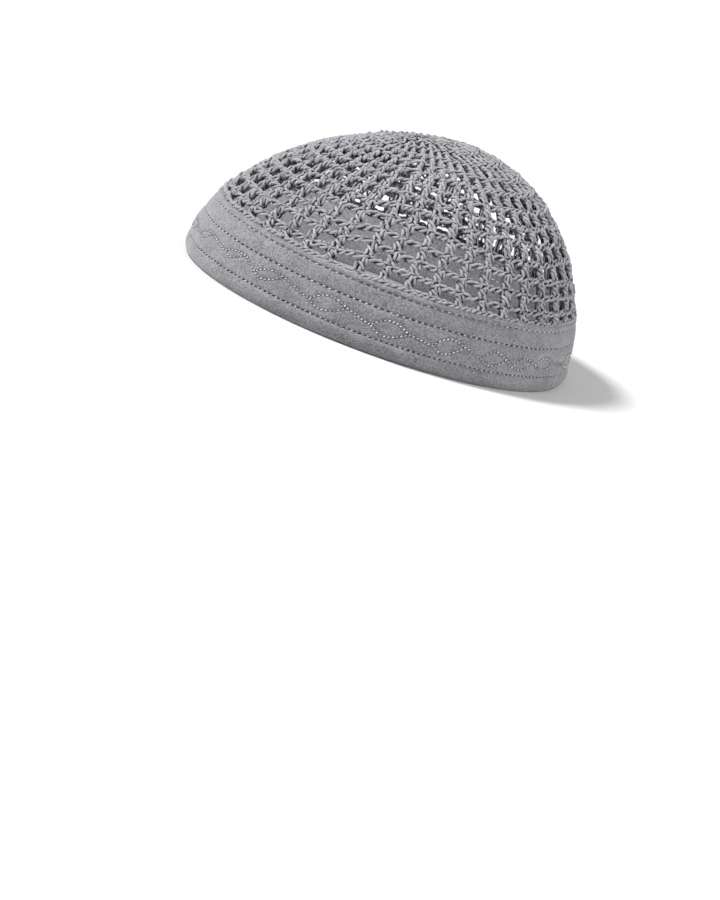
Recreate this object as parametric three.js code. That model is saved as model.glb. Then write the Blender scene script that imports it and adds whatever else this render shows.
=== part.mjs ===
// A crocheted skull cap: a net crown sewn into a folded cloth band.
// Millimetres, +Z up. The rim lies in the plane z = 0 with its middle at the origin.
// The front of the cap faces -Y and the wearer's left side faces +X.

import * as THREE from 'three';

// Overall form
const RIM_HALF_LENGTH = 99;
const RIM_HALF_WIDTH = 79;
const CAP_HEIGHT = 94;
const APEX_SET_BACK = 16;
const SET_BACK_POWER = 2.24;
const HEIGHT_POWER = 1.98;
const SPREAD_POWER = 1.815;

// Folded cloth band
const BAND_HEIGHT = 33;
const BAND_WALL = 3.0;
const BAND_SECTIONS = 96;
const FOLD_RADIUS = 1.1;
const LIP_WALL = 1.1;
const LIP_DEPTH = 3.5;
const SEAT_GAP = 0.3;

// Crocheted crown
const CROWN_COLUMNS = 24;
const CROWN_ROWS = 5;
const RIB_WIDTH = 4.6;
const ROUND_WIDTH = 4.2;
const YARN_THICKNESS = 3.0;
const GAP_EDGE_THICKNESS = 1.7;
const FIRST_ROUND_HEIGHT = 37;
const CENTRE_RADIUS = 24;
const CENTRE_ROUNDS = 3;
const CENTRE_SET_FORWARD = 25;
const SET_FORWARD_POWER = 1.82;
const GAP_CORNER = 0.84;

const ARC_STEPS = 720;
const DIFFERENCE_STEP = 1e-4;

// Outer form of the cap.
// spread is 1 at the rim and 0 at the apex, and level is the height it belongs to.
function levelOfSpread(spread) {
  const inside = Math.max(0, 1 - Math.min(1, spread) ** SPREAD_POWER);
  return CAP_HEIGHT * inside ** (1 / HEIGHT_POWER);
}

function spreadOfLevel(level) {
  return (1 - (level / CAP_HEIGHT) ** HEIGHT_POWER) ** (1 / SPREAD_POWER);
}

// across and along are the rim's unit-circle coordinates, shrunk towards the apex.
function outerPoint(across, along) {
  const level = levelOfSpread(Math.hypot(across, along));
  const setBack = APEX_SET_BACK * (level / CAP_HEIGHT) ** SET_BACK_POWER;
  return new THREE.Vector3(RIM_HALF_WIDTH * across, setBack + RIM_HALF_LENGTH * along, level);
}

function outwardNormal(across, along) {
  const h = DIFFERENCE_STEP;
  const alongX = outerPoint(across + h, along).sub(outerPoint(across - h, along));
  const alongY = outerPoint(across, along + h).sub(outerPoint(across, along - h));
  return alongX.cross(alongY).normalize();
}

// Length along the rim's oval from its +X end, in small steps of the angle.
function ovalLengths() {
  const lengths = [0];
  for (let i = 0; i < ARC_STEPS; i += 1) {
    const middle = (2 * Math.PI * (i + 0.5)) / ARC_STEPS;
    const speed = Math.hypot(RIM_HALF_WIDTH * Math.sin(middle), RIM_HALF_LENGTH * Math.cos(middle));
    lengths.push(lengths[i] + speed);
  }
  return lengths;
}

const ARC_LENGTHS = ovalLengths();

// The angle at which a share of one turn of the oval has been covered.
function angleAt(turn) {
  const target = turn * ARC_LENGTHS[ARC_STEPS];
  let i = 0;
  while (i < ARC_STEPS - 1 && ARC_LENGTHS[i + 1] < target) {
    i += 1;
  }
  const part = (target - ARC_LENGTHS[i]) / (ARC_LENGTHS[i + 1] - ARC_LENGTHS[i]);
  return (2 * Math.PI * (i + part)) / ARC_STEPS;
}

// A point of the wall at a given height, set in by a depth measured level with the rim.
function wallPoint(angle, level, depth) {
  const spread = spreadOfLevel(level);
  const point = outerPoint(spread * Math.cos(angle), spread * Math.sin(angle));
  const inward = new THREE.Vector3(
    -Math.cos(angle) / RIM_HALF_WIDTH,
    -Math.sin(angle) / RIM_HALF_LENGTH,
    0,
  ).normalize();
  point.addScaledVector(inward, depth);
  point.z = level;
  return point;
}

// Closed bodies are gathered corner by corner, and equal corners are shared.
class Body {
  constructor() {
    this.corners = [];
    this.faces = [];
  }

  corner(point) {
    this.corners.push(point.x, point.y, point.z);
    return this.corners.length / 3 - 1;
  }

  triangle(a, b, c) {
    this.faces.push(a, b, c);
  }

  quad(a, b, c, d) {
    this.triangle(a, b, c);
    this.triangle(a, c, d);
  }

  geometry() {
    const geometry = new THREE.BufferGeometry();
    geometry.setAttribute('position', new THREE.Float32BufferAttribute(this.corners, 3));
    geometry.setIndex(this.faces);
    geometry.computeVertexNormals();
    return geometry;
  }
}

// Folded cloth band: a closed section carried round the oval.
// The section starts at the outer face and runs up, over the lip, down the inside and back below.
// Its underside is flat where the cloth lies on a surface.
function bandSection() {
  const ledge = BAND_HEIGHT - LIP_DEPTH;
  const corner = FOLD_RADIUS * (1 - Math.SQRT1_2);
  return [
    { level: FOLD_RADIUS, depth: 0 },
    { level: BAND_HEIGHT / 3, depth: 0 },
    { level: (2 * BAND_HEIGHT) / 3, depth: 0 },
    { level: BAND_HEIGHT - LIP_WALL / 2, depth: 0 },
    { level: BAND_HEIGHT, depth: LIP_WALL / 2 },
    { level: BAND_HEIGHT - LIP_WALL / 2, depth: LIP_WALL },
    { level: ledge, depth: LIP_WALL },
    { level: ledge, depth: BAND_WALL },
    { level: (2 * BAND_HEIGHT) / 3, depth: BAND_WALL },
    { level: BAND_HEIGHT / 3, depth: BAND_WALL },
    { level: corner, depth: BAND_WALL },
    { level: 0, depth: BAND_WALL - corner },
    { level: 0, depth: FOLD_RADIUS },
    { level: corner, depth: corner },
  ];
}

function makeBand() {
  const body = new Body();
  const section = bandSection();
  const rings = [];
  for (let i = 0; i < BAND_SECTIONS; i += 1) {
    const angle = angleAt(i / BAND_SECTIONS);
    rings.push(section.map(({ level, depth }) => body.corner(wallPoint(angle, level, depth))));
  }
  for (let i = 0; i < BAND_SECTIONS; i += 1) {
    const here = rings[i];
    const next = rings[(i + 1) % BAND_SECTIONS];
    for (let k = 0; k < section.length; k += 1) {
      const after = (k + 1) % section.length;
      body.quad(here[k], next[k], next[after], here[after]);
    }
  }
  return body.geometry();
}

// Crocheted crown.
// turn counts once round the cap. climb is 0 at the first round and 1 at the solid centre.
const FIRST_SPREAD = spreadOfLevel(FIRST_ROUND_HEIGHT);
const CENTRE_SPREAD = CENTRE_RADIUS / RIM_HALF_LENGTH;
const FIRST_TILT = Math.asin(FIRST_SPREAD);
const CENTRE_TILT = Math.asin(CENTRE_SPREAD);

function spreadOfClimb(climb) {
  return Math.sin(FIRST_TILT + (CENTRE_TILT - FIRST_TILT) * climb);
}

// The rounds close on a centre that lies in front of the apex.
function crownPlace(turn, spread) {
  const angle = angleAt(turn);
  const share = (1 - spread / FIRST_SPREAD) ** SET_FORWARD_POWER;
  const forward = (CENTRE_SET_FORWARD / RIM_HALF_LENGTH) * share;
  return { across: spread * Math.cos(angle), along: spread * Math.sin(angle) - forward };
}

// One side of the net's wall, with depth counted inwards from the outer form.
function crownPoint(turn, spread, depth) {
  const { across, along } = crownPlace(turn, spread);
  return outerPoint(across, along).addScaledVector(outwardNormal(across, along), -depth);
}

// Depths of the outer and the inner side, along the ribs and at the edges of the gaps.
const SIDES = [
  { ribDepth: 0, gapDepth: (YARN_THICKNESS - GAP_EDGE_THICKNESS) / 2 },
  { ribDepth: YARN_THICKNESS, gapDepth: (YARN_THICKNESS + GAP_EDGE_THICKNESS) / 2 },
];

// Each cell of the net is framed by eight corners, and its gap has eight corners inside them.
const CELL_FRAME = [
  [-1, -1], [0, -1], [1, -1], [1, 0], [1, 1], [0, 1], [-1, 1], [-1, 0],
];

function cellSize(column, row) {
  const turn = (column + 0.5) / CROWN_COLUMNS;
  const climb = (row + 0.5) / CROWN_ROWS;
  const at = (dTurn, dClimb) => crownPoint(
    turn + dTurn / CROWN_COLUMNS,
    spreadOfClimb(climb + dClimb / CROWN_ROWS),
    0,
  );
  return {
    wide: at(-0.5, 0).distanceTo(at(0.5, 0)),
    high: at(0, -0.5).distanceTo(at(0, 0.5)),
  };
}

function makeCrown() {
  const body = new Body();
  const halfTurns = 2 * CROWN_COLUMNS;
  const halfRows = 2 * CROWN_ROWS;
  const ring = (count, make) => Array.from({ length: count }, (_, i) => body.corner(make(i)));

  // Corners on the ribs and rounds of both sides
  const grids = SIDES.map(({ ribDepth }) => {
    const rows = [];
    for (let j = 0; j <= halfRows; j += 1) {
      const spread = spreadOfClimb(j / halfRows);
      rows.push(ring(halfTurns, (i) => crownPoint(i / halfTurns, spread, ribDepth)));
    }
    return rows;
  });

  // The skirt below the first round is tucked behind the lip of the band.
  const skirts = [LIP_WALL + SEAT_GAP, BAND_WALL].map((depth) => (
    [BAND_HEIGHT + SEAT_GAP, BAND_HEIGHT - LIP_DEPTH + SEAT_GAP].map((level) => (
      ring(halfTurns, (i) => wallPoint(angleAt(i / halfTurns), level, depth))
    ))
  ));

  // The solid centre closes in rounds of the same corners on one last corner.
  const centres = SIDES.map(({ ribDepth }, side) => {
    const rounds = [grids[side][halfRows]];
    for (let k = 1; k < CENTRE_ROUNDS; k += 1) {
      const spread = CENTRE_SPREAD * (1 - k / CENTRE_ROUNDS);
      rounds.push(ring(halfTurns, (i) => crownPoint(i / halfTurns, spread, ribDepth)));
    }
    return { rounds, last: body.corner(crownPoint(0, 0, ribDepth)) };
  });

  // A face of the outer side, or of the inner side with its corners turned round
  const face = (side, a, b, c, d) => {
    if (side === 0) {
      body.quad(a, b, c, d);
    } else {
      body.quad(d, c, b, a);
    }
  };

  // Cells with their gaps
  for (let column = 0; column < CROWN_COLUMNS; column += 1) {
    for (let row = 0; row < CROWN_ROWS; row += 1) {
      const { wide, high } = cellSize(column, row);
      const openWide = (wide - RIB_WIDTH) / wide;
      const openHigh = (high - ROUND_WIDTH) / high;
      const gapLoops = SIDES.map(({ gapDepth }) => CELL_FRAME.map(([u, v]) => {
        const corner = u !== 0 && v !== 0 ? GAP_CORNER : 1;
        const turn = (column + 0.5 + 0.5 * u * corner * openWide) / CROWN_COLUMNS;
        const climb = (row + 0.5 + 0.5 * v * corner * openHigh) / CROWN_ROWS;
        return body.corner(crownPoint(turn, spreadOfClimb(climb), gapDepth));
      }));
      const frames = grids.map((grid) => CELL_FRAME.map(([u, v]) => (
        grid[2 * row + 1 + v][(2 * column + 1 + u) % halfTurns]
      )));
      for (let k = 0; k < CELL_FRAME.length; k += 1) {
        const after = (k + 1) % CELL_FRAME.length;
        for (let side = 0; side < 2; side += 1) {
          face(side, frames[side][k], frames[side][after], gapLoops[side][after], gapLoops[side][k]);
        }
        body.quad(gapLoops[0][k], gapLoops[0][after], gapLoops[1][after], gapLoops[1][k]);
      }
    }
  }

  for (let i = 0; i < halfTurns; i += 1) {
    const next = (i + 1) % halfTurns;
    for (let side = 0; side < 2; side += 1) {
      const first = grids[side][0];
      const [top, edge] = skirts[side];
      face(side, top[i], top[next], first[next], first[i]);
      face(side, edge[i], edge[next], top[next], top[i]);
      const { rounds, last } = centres[side];
      for (let k = 1; k < CENTRE_ROUNDS; k += 1) {
        face(side, rounds[k - 1][i], rounds[k - 1][next], rounds[k][next], rounds[k][i]);
      }
      const inmost = rounds[CENTRE_ROUNDS - 1];
      if (side === 0) {
        body.triangle(inmost[i], inmost[next], last);
      } else {
        body.triangle(inmost[next], inmost[i], last);
      }
    }
    body.quad(skirts[1][1][i], skirts[1][1][next], skirts[0][1][next], skirts[0][1][i]);
  }
  return body.geometry();
}

function makePiece(name, geometry, colour, roughness) {
  const material = new THREE.MeshStandardMaterial({ color: colour, roughness, metalness: 0 });
  const mesh = new THREE.Mesh(geometry, material);
  mesh.name = name;
  return mesh;
}

const cap = new THREE.Group();
cap.add(makePiece('band', makeBand(), 0x838287, 0.95));
cap.add(makePiece('crown', makeCrown(), 0x8d8b91, 0.9));

export default cap;
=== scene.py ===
"""A crocheted skull cap that rests on its rim: a yarn net crown sewn into a folded cloth band.

Lengths are in millimetres in the arrays and in metres in the meshes. +Z is up, the front faces -Y.
"""
import math

import bpy
import numpy as np
from mathutils import Matrix, Vector
from mathutils.kdtree import KDTree


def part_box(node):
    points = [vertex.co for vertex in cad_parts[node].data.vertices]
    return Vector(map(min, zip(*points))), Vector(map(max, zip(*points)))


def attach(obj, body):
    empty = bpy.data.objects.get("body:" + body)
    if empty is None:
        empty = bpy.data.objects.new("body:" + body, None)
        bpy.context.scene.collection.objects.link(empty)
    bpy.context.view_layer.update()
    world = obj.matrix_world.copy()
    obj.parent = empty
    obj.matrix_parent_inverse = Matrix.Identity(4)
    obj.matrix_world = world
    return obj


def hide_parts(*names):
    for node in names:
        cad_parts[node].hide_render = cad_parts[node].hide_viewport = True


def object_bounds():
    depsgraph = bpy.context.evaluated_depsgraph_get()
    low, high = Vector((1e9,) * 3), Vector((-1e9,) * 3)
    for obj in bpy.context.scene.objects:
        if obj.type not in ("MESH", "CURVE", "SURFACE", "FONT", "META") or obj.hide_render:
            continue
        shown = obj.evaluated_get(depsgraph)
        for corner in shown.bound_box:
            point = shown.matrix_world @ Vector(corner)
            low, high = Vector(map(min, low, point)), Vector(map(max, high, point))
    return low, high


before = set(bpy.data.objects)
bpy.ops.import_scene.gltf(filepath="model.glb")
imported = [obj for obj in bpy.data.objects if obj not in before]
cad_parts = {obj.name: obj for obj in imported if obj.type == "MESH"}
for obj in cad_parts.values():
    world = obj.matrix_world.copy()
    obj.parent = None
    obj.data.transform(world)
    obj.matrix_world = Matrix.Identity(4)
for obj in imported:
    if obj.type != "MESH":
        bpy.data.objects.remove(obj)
cad_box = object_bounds()
MM = 0.001

# Overall form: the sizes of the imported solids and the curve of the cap
band_low, band_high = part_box("band")
RIM_HALF_WIDTH = (band_high[0] - band_low[0]) / 2 / MM
RIM_HALF_LENGTH = (band_high[1] - band_low[1]) / 2 / MM
BAND_HEIGHT = (band_high[2] - band_low[2]) / MM
CAP_HEIGHT = cad_box[1][2] / MM
APEX_SET_BACK = 16.0
SET_BACK_POWER = 2.24
HEIGHT_POWER = 1.98
SPREAD_POWER = 1.815

# Crochet: the yarn's width, the size of a loop and how deep the middle of the net lies
YARN = 1.27
LOOP = 1.60
CROWN_DEPTH = 2.3

# Rounds, and how far from the centre of the crochet each lies, in degrees
ROUND_TILTS = [(0, 67.35), (1, 64.5), (3, 54.8), (7, 33.1), (13, 1.6)]
CENTRE_SET_FORWARD = 25.0
SET_FORWARD_POWER = 1.82

# Columns of posts. The rounds join beside one of them, where a little more room is left.
COLUMNS = 41
FIRST_COLUMN_TURN = 0.0577
SEAM_COLUMN = -4.6
SEAM_GAP = 0.3

# The jog at the join: its size in rounds, the rounds over which it grows and fades, the columns
# within which it rises and the share of a turn in which it settles
SEAM_CLIMB = 0.5
SEAM_CLIMB_ROUNDS = 1.2
SEAM_LAST_ROUND = 14.0
SEAM_FADE_ROUNDS = 12.0
SEAM_BLEND = 1.6
SEAM_SETTLE = 0.18

rng = np.random.default_rng(7)


# The cap's outer form. spread is 1 at the rim and 0 at the apex.
def level_of_spread(spread):
    inside = np.maximum(0.0, 1.0 - np.minimum(1.0, spread) ** SPREAD_POWER)
    return CAP_HEIGHT * inside ** (1.0 / HEIGHT_POWER)


def spread_of_level(level):
    return (1.0 - (level / CAP_HEIGHT) ** HEIGHT_POWER) ** (1.0 / SPREAD_POWER)


def outer_point(across, along):
    level = level_of_spread(np.hypot(across, along))
    set_back = APEX_SET_BACK * (level / CAP_HEIGHT) ** SET_BACK_POWER
    return np.stack([RIM_HALF_WIDTH * across, set_back + RIM_HALF_LENGTH * along, level], -1)


def unit(v):
    return v / np.maximum(np.linalg.norm(v, axis=-1, keepdims=True), 1e-12)


def run_along(steps):
    """How far along a path each point lies, from the lengths of its steps."""
    return np.concatenate([np.zeros((*steps.shape[:-1], 1)), np.cumsum(steps, -1)], -1)


def outward_normal(across, along, step=1e-4):
    by_across = outer_point(across + step, along) - outer_point(across - step, along)
    by_along = outer_point(across, along + step) - outer_point(across, along - step)
    return unit(np.cross(by_across, by_along))


def oval_table(steps=1440):
    edge = np.linspace(0.0, 2.0 * math.pi, steps + 1)
    middle = (edge[:-1] + edge[1:]) / 2
    speed = np.hypot(RIM_HALF_WIDTH * np.sin(middle), RIM_HALF_LENGTH * np.cos(middle))
    return edge, run_along(speed) * (edge[1] - edge[0])


OVAL_ANGLES, OVAL_LENGTHS = oval_table()
RIM_LENGTH = OVAL_LENGTHS[-1]


def angle_at(turn):
    whole = np.floor(turn)
    return np.interp((turn - whole) * RIM_LENGTH, OVAL_LENGTHS, OVAL_ANGLES) + 2 * math.pi * whole


# Crown coordinates: turn goes once round, and round counts the rounds from the band to the centre.
def round_spread(round_):
    rounds, tilts = zip(*ROUND_TILTS)
    return np.sin(np.radians(np.interp(round_, rounds, tilts)))


FIRST_SPREAD = round_spread(0)


def mix(low, high, share):
    return low * (1 - share) + high * share


def smooth_step(x):
    x = np.clip(x, 0.0, 1.0)
    return x * x * (3 - 2 * x)


def ramp(value, start, end):
    """Goes smoothly from 0 to 1 as the value goes from start to end."""
    return smooth_step((value - start) / (end - start))


def seam_rise(turn):
    """Is 1 just past the join of the rounds, sinks to 0, and rises again just before the join."""
    seam_turn = FIRST_COLUMN_TURN + SEAM_COLUMN / COLUMNS
    blend = SEAM_BLEND / COLUMNS
    share = (turn - seam_turn - blend / 2) % 1.0
    past = 1.0 - smooth_step(share / SEAM_SETTLE)
    before = 1.0 - smooth_step((1.0 - share) / blend)
    return np.maximum(past, before)


def crown_surface(turn, round_):
    fade = np.clip((SEAM_LAST_ROUND - round_) / SEAM_FADE_ROUNDS, 0.0, 1.0)
    climb = SEAM_CLIMB * np.clip(round_ / SEAM_CLIMB_ROUNDS, 0.0, 1.0) * fade * seam_rise(turn)
    spread = round_spread(round_ + climb)
    share = np.maximum(0.0, 1.0 - spread / FIRST_SPREAD) ** SET_FORWARD_POWER
    angle = angle_at(turn)
    across = spread * np.cos(angle)
    along = spread * np.sin(angle) - CENTRE_SET_FORWARD / RIM_HALF_LENGTH * share
    return across, along


def crown_point(turn, round_):
    """A point in the middle of the crochet's thickness, and the outward direction there."""
    across, along = crown_surface(turn, round_)
    normal = outward_normal(across, along)
    return outer_point(across, along) - normal * CROWN_DEPTH, normal


def column_turn(column, count):
    """The turn of a post, of so many in its round."""
    start = FIRST_COLUMN_TURN + (SEAM_COLUMN + 0.5 + SEAM_GAP) / COLUMNS
    return start + column / (count + SEAM_GAP)


def smooth_rows(values, amount):
    return mix(values, (np.roll(values, 1, 0) + np.roll(values, -1, 0)) / 2, amount)


# Slight unevenness of the hand work, the same for all strands that pass a place. Its grid has
# two columns to a post and two rows to a round. It is weaker near the centre.
WOBBLE_COLUMNS, WOBBLE_ROWS = 82, 28
WOBBLE_ROWS_TO_A_ROUND = 2.0
WOBBLE_ROW_OF_THE_EDGE = 1.0
LAST_WOBBLE_ROW = WOBBLE_ROWS - 1.001
WOBBLE_SMOOTHING = 0.5
WOBBLE_SIZE = np.array([0.85, 0.85, 0.7])
FULL_WOBBLE_SPREAD = 0.55
LEAST_WOBBLE = 0.2
TURN_STEP = 1e-4

wobble = rng.normal(0.0, 1.0, (WOBBLE_COLUMNS, WOBBLE_ROWS, 3))
wobble = smooth_rows(smooth_rows(wobble, WOBBLE_SMOOTHING), WOBBLE_SMOOTHING)


def wobble_at(turn, round_):
    column = (turn % 1.0) * WOBBLE_COLUMNS
    row = np.clip(round_ * WOBBLE_ROWS_TO_A_ROUND + WOBBLE_ROW_OF_THE_EDGE, 0.0, LAST_WOBBLE_ROW)
    west, lower = np.floor(column).astype(int), np.floor(row).astype(int)
    east_share = smooth_step(column - west)[..., None]
    upper_share = smooth_step(row - lower)[..., None]
    west, east = west % WOBBLE_COLUMNS, (west + 1) % WOBBLE_COLUMNS
    low = mix(wobble[west, lower], wobble[east, lower], east_share)
    high = mix(wobble[west, lower + 1], wobble[east, lower + 1], east_share)
    return mix(low, high, upper_share) * WOBBLE_SIZE


def place(turn, round_, sideways, climb, lift):
    """Points at crown coordinates and offsets in millimetres, and the outward direction there."""
    centre, normal = crown_point(turn, round_)
    ahead, _ = crown_point(turn + TURN_STEP, round_)
    east = unit(ahead - centre)
    north = np.cross(normal, east)
    fade = np.clip(round_spread(round_) / FULL_WOBBLE_SPREAD, LEAST_WOBBLE, 1.0)[..., None]
    offset = np.stack(np.broadcast_arrays(sideways, climb, lift), -1) + wobble_at(turn, round_) * fade
    axes = np.stack([east, north, normal], -1)
    return centre + (axes * offset[..., None, :]).sum(-1), normal


# The corners of a quad, as steps round a ring and along to the next one
QUAD_AROUND, QUAD_ALONG = np.array([0, 1, 1, 0]), np.array([0, 0, 1, 1])

# Tubes swept along strands
TUBE_SIDES = 6
CAP_REACH = 0.6
FIRST_SIDE = np.array([0.31, 0.52, 0.80])


def catmull_rom(points, per_span):
    """A smooth path through points of the shape (strands, count, values)."""
    before = 2 * points[:, :1] - points[:, 1:2]
    after = 2 * points[:, -1:] - points[:, -2:-1]
    p = np.concatenate([before, points, after], 1)
    t = (np.arange(per_span) / per_span)[:, None]
    p0, p1, p2, p3 = (p[:, k: p.shape[1] - 3 + k, None] for k in range(4))
    curve = 0.5 * (
        2 * p1 + (p2 - p0) * t + (2 * p0 - 5 * p1 + 4 * p2 - p3) * t**2
        + (3 * p1 - p0 - 3 * p2 + p3) * t**3
    )
    curve = curve.reshape(points.shape[0], -1, points.shape[-1])
    return np.concatenate([curve, points[:, -1:]], 1)


def respace(path, count):
    """Rows spread evenly by length along each strand, whose first three values are its place."""
    length = run_along(np.linalg.norm(np.diff(path[..., :3], axis=1), axis=-1))
    result = np.empty((len(path), count, path.shape[-1]))
    for i in range(len(path)):
        wanted = np.linspace(0.0, length[i, -1], count)
        for axis in range(path.shape[-1]):
            result[i, :, axis] = np.interp(wanted, length[i], path[i, :, axis])
    return result


def square_to(tangent, side):
    """The unit direction nearest to a side that is at right angles to a tangent."""
    return unit(side - (side * tangent).sum(-1, keepdims=True) * tangent)


def frames_along(path):
    """Cross directions carried along each strand without twist."""
    tangent = unit(np.gradient(path, axis=1))
    side = np.empty_like(path)
    side[:, 0] = square_to(tangent[:, 0], FIRST_SIDE)
    for k in range(1, path.shape[1]):
        side[:, k] = square_to(tangent[:, k], side[:, k - 1])
    return tangent, side, np.cross(tangent, side)


def with_tips(rings, tips):
    """Values of each tube's rings, then of its two tips, in the order of the mesh's points."""
    rings = rings.reshape(len(tips), -1, *tips.shape[2:])
    return np.concatenate([rings, tips], 1).reshape(-1, *tips.shape[2:])


class Strands:
    """Collects capped tubes and turns them into one mesh."""

    def __init__(self, sides=TUBE_SIDES):
        self.sides = sides
        self.points, self.quads, self.caps, self.uvs = [], [], [], []
        self.tones, self.heights = [], []
        self.facings, self.areas = [], []
        self.count = 0

    def add(self, path, radius, tone, lift, outward=(0.0, 0.0, 0.0)):
        """lift is the height of a path's points, and outward the direction that counts as up."""
        strands, length, _ = path.shape
        tangent, side, other = frames_along(path)
        radius = np.broadcast_to(radius, (strands, length))
        lift = np.broadcast_to(lift, (strands, length))
        outward = np.broadcast_to(outward, path.shape)
        angle = np.arange(self.sides)[:, None] * 2 * math.pi / self.sides
        ring = side[:, :, None] * np.cos(angle) + other[:, :, None] * np.sin(angle)
        tube = path[:, :, None] + ring * radius[:, :, None, None]
        height = lift[:, :, None] + (ring * outward[:, :, None]).sum(-1) * radius[:, :, None]
        caps = tangent[:, [0, -1]] * np.array([[-1.0], [1.0]])
        tips = path[:, [0, -1]] + caps * (radius[:, [0, -1], None] * CAP_REACH)
        block = length * self.sides + 2
        self.points.append(with_tips(tube, tips))
        self.heights.append(with_tips(height, lift[:, [0, -1]]))
        self.note_surface(ring, caps, path, radius)
        self.note_faces(path, block)
        self.tones.append(np.repeat(np.broadcast_to(tone, strands), block))
        self.count += strands * block

    def note_faces(self, path, block):
        """Keeps the faces of tubes of block points each, the tips of their two caps last."""
        strands, length, _ = path.shape
        last = (length - 1) * self.sides
        first = self.count + np.arange(strands)[:, None, None] * block
        row = np.arange(length - 1)[:, None, None] + QUAD_ALONG
        side = np.arange(self.sides)[:, None] + QUAD_AROUND
        quads = row * self.sides + side % self.sides
        here, after = side[:, 0], side[:, 1] % self.sides
        near = np.stack([after, here, 0 * here + block - 2], -1)
        far = np.stack([last + here, last + after, 0 * here + block - 1], -1)
        self.quads.append((first + quads.reshape(-1, 4)).reshape(-1, 4))
        self.caps.append((first + np.concatenate([near, far])).reshape(-1, 3))
        run = run_along(np.linalg.norm(np.diff(path, axis=1), axis=-1))
        uv = np.stack(np.broadcast_arrays(side / self.sides, run[:, row]), -1)
        self.uvs.append(uv.reshape(-1, 2))

    def note_surface(self, ring, caps, path, radius):
        """Keeps which way each point faces and how much surface it stands for."""
        step = np.linalg.norm(np.gradient(path, axis=1), axis=-1)
        area = (step * radius * 2 * math.pi / self.sides)[..., None] * np.ones(self.sides)
        self.facings.append(with_tips(ring, caps))
        self.areas.append(with_tips(area, np.zeros((len(path), 2))))

    def build(self, name, crowding=None):
        points, quads, caps = map(np.concatenate, (self.points, self.quads, self.caps))
        uv = np.concatenate([*self.uvs, np.zeros((caps.size, 2))])
        marks = {"tone": np.concatenate(self.tones), "height": np.concatenate(self.heights)}
        if crowding is not None:
            marks["crowding"] = crowding
        return add_mesh(name, points, quads, caps, "Strand", uv, marks)


def add_mesh(name, points, quads, triangles, uv_name, uv, marks):
    """A mesh of quads and then triangles, with one UV layer and with marks on its points."""
    mesh = bpy.data.meshes.new(name)
    corners = np.concatenate([quads.ravel(), triangles.ravel()])
    starts = np.concatenate([np.arange(0, quads.size, 4), np.arange(quads.size, corners.size, 3)])
    mesh.vertices.add(points.size // 3)
    mesh.vertices.foreach_set("co", (points * MM).astype(np.float32).ravel())
    mesh.loops.add(len(corners))
    mesh.loops.foreach_set("vertex_index", corners.astype(np.int32))
    mesh.polygons.add(len(starts))
    mesh.polygons.foreach_set("loop_start", starts.astype(np.int32))
    mesh.update(calc_edges=True)
    mesh.validate()
    mesh.shade_smooth()
    layer = mesh.uv_layers.new(name=uv_name)
    layer.uv.foreach_set("vector", uv.astype(np.float32).ravel())
    for mark_name, values in marks.items():
        mark = mesh.attributes.new(mark_name, "FLOAT", "POINT")
        mark.data.foreach_set("value", values.astype(np.float32).ravel())
    return add_object(name, mesh)


def add_object(name, data):
    obj = bpy.data.objects.new(name, data)
    bpy.context.scene.collection.objects.link(obj)
    return obj


# Chain stitches: along the chain in links, and across and out of it in LOOP units
CHAIN_LINK = np.array([
    (0.00, 0.24, -0.50), (0.16, 0.44, 0.05), (0.45, 0.62, 0.36), (0.82, 0.62, 0.42),
    (1.12, 0.40, 0.18), (1.34, 0.04, -0.20), (1.33, -0.36, -0.22), (1.14, -0.68, 0.12),
    (0.84, -0.74, 0.56), (0.52, -0.38, 0.90), (0.24, 0.06, 0.70), (0.05, 0.28, 0.12),
    (0.00, 0.12, -0.50), (0.30, -0.14, -0.88), (0.70, 0.04, -0.88),
])
CHAIN_ROLL = math.radians(4)
CHAIN_ROLL_SPREAD = math.radians(17)

# The strands of a post, from the round above it to the round below it.
# Along the post as a share of its height, and across and out of it in LOOP units.
POST_STRANDS = {
    "fan_middle": [
        (-0.06, -0.10, -0.30), (0.04, -0.14, 0.70), (0.16, -0.08, 1.12), (0.29, 0.06, 0.98),
        (0.40, 0.20, 0.38), (0.46, 0.26, -0.40),
    ],
    "fan_right": [
        (-0.05, 0.35, -0.30), (0.02, 0.52, 0.55), (0.12, 0.84, 0.92), (0.25, 1.10, 0.72),
        (0.37, 1.18, 0.25), (0.46, 1.00, -0.45),
    ],
    "fan_left": [
        (-0.04, -0.55, -0.35), (0.03, -0.80, 0.50), (0.13, -1.02, 0.78), (0.25, -1.08, 0.50),
        (0.35, -0.92, -0.20),
    ],
    "wrap": [
        (0.24, -1.12, -0.40), (0.30, -1.05, 0.40), (0.40, -0.62, 1.02), (0.52, 0.00, 1.18),
        (0.64, 0.58, 0.90), (0.73, 0.96, 0.25), (0.78, 1.00, -0.50),
    ],
    "left_leg": [
        (0.42, -0.92, -0.45), (0.48, -1.12, 0.25), (0.60, -1.06, 0.84), (0.74, -0.78, 1.02),
        (0.88, -0.76, 0.74), (0.98, -0.95, 0.10), (1.03, -0.95, -0.50),
    ],
    "right_leg": [
        (0.58, 0.05, -0.20), (0.66, 0.24, 0.55), (0.77, 0.50, 0.98), (0.88, 0.88, 0.84),
        (0.97, 1.15, 0.35), (1.03, 1.15, -0.35),
    ],
    "back_left": [
        (-0.05, -0.48, -0.75), (0.25, -0.62, -0.92), (0.50, -0.42, -1.00), (0.75, -0.55, -0.92),
        (1.03, -0.45, -0.75),
    ],
    "back_right": [
        (-0.05, 0.50, -0.78), (0.25, 0.38, -0.95), (0.50, 0.55, -0.95), (0.75, 0.42, -0.95),
        (1.03, 0.52, -0.78),
    ],
}

# Rings of a tube to a link, to a strand on the front of a post and to one on its back
CHAIN_STEPS = 17
POST_STEPS = 9
BACK_STEPS = 6

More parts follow.
